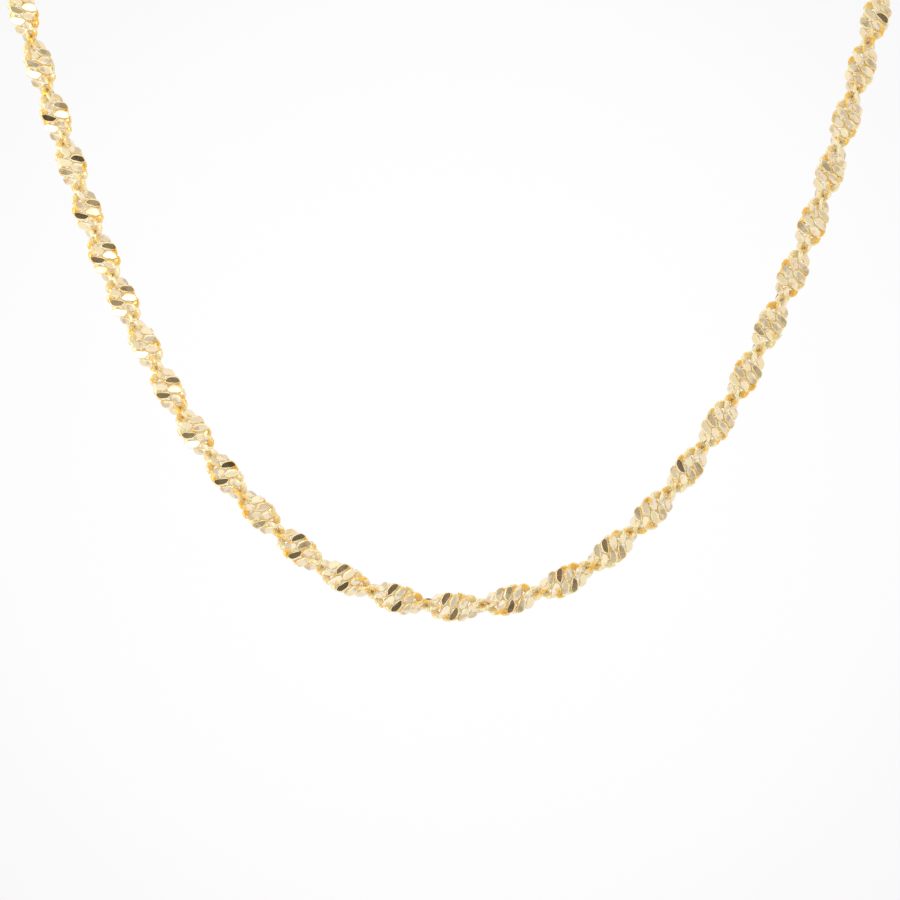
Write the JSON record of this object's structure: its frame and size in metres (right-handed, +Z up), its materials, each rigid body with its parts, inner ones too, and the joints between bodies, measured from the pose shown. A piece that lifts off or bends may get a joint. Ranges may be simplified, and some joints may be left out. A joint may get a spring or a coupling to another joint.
{
  "type": "twisted flat-link neck chain",
  "caption": "Neck chain of flattened, steadily twisted curb links in bright gold, held in its worn form with a deep U at the front and a plain ring clasp closed at the nape.",
  "frame": {"origin": "middle of the neck opening, level with the nape, where the loop sits on a wearer", "axes": "+Z up, the front of the loop faces -Y, +X to the right as seen from the front"},
  "size_m": [0.116, 0.0852, 0.1255],
  "materials": {
    "chain_gold": "yellow gold links with mirror-cut flat faces and softly polished round wire between them",
    "ring_gold": "polished yellow gold wire",
    "clasp_gold": "polished yellow gold"
  },
  "bodies": {
    "root": {"chain": "chain_gold", "end_ring_left": "ring_gold", "clasp": "clasp_gold", "end_ring_right": "ring_gold"}
  },
  "joints": []
}
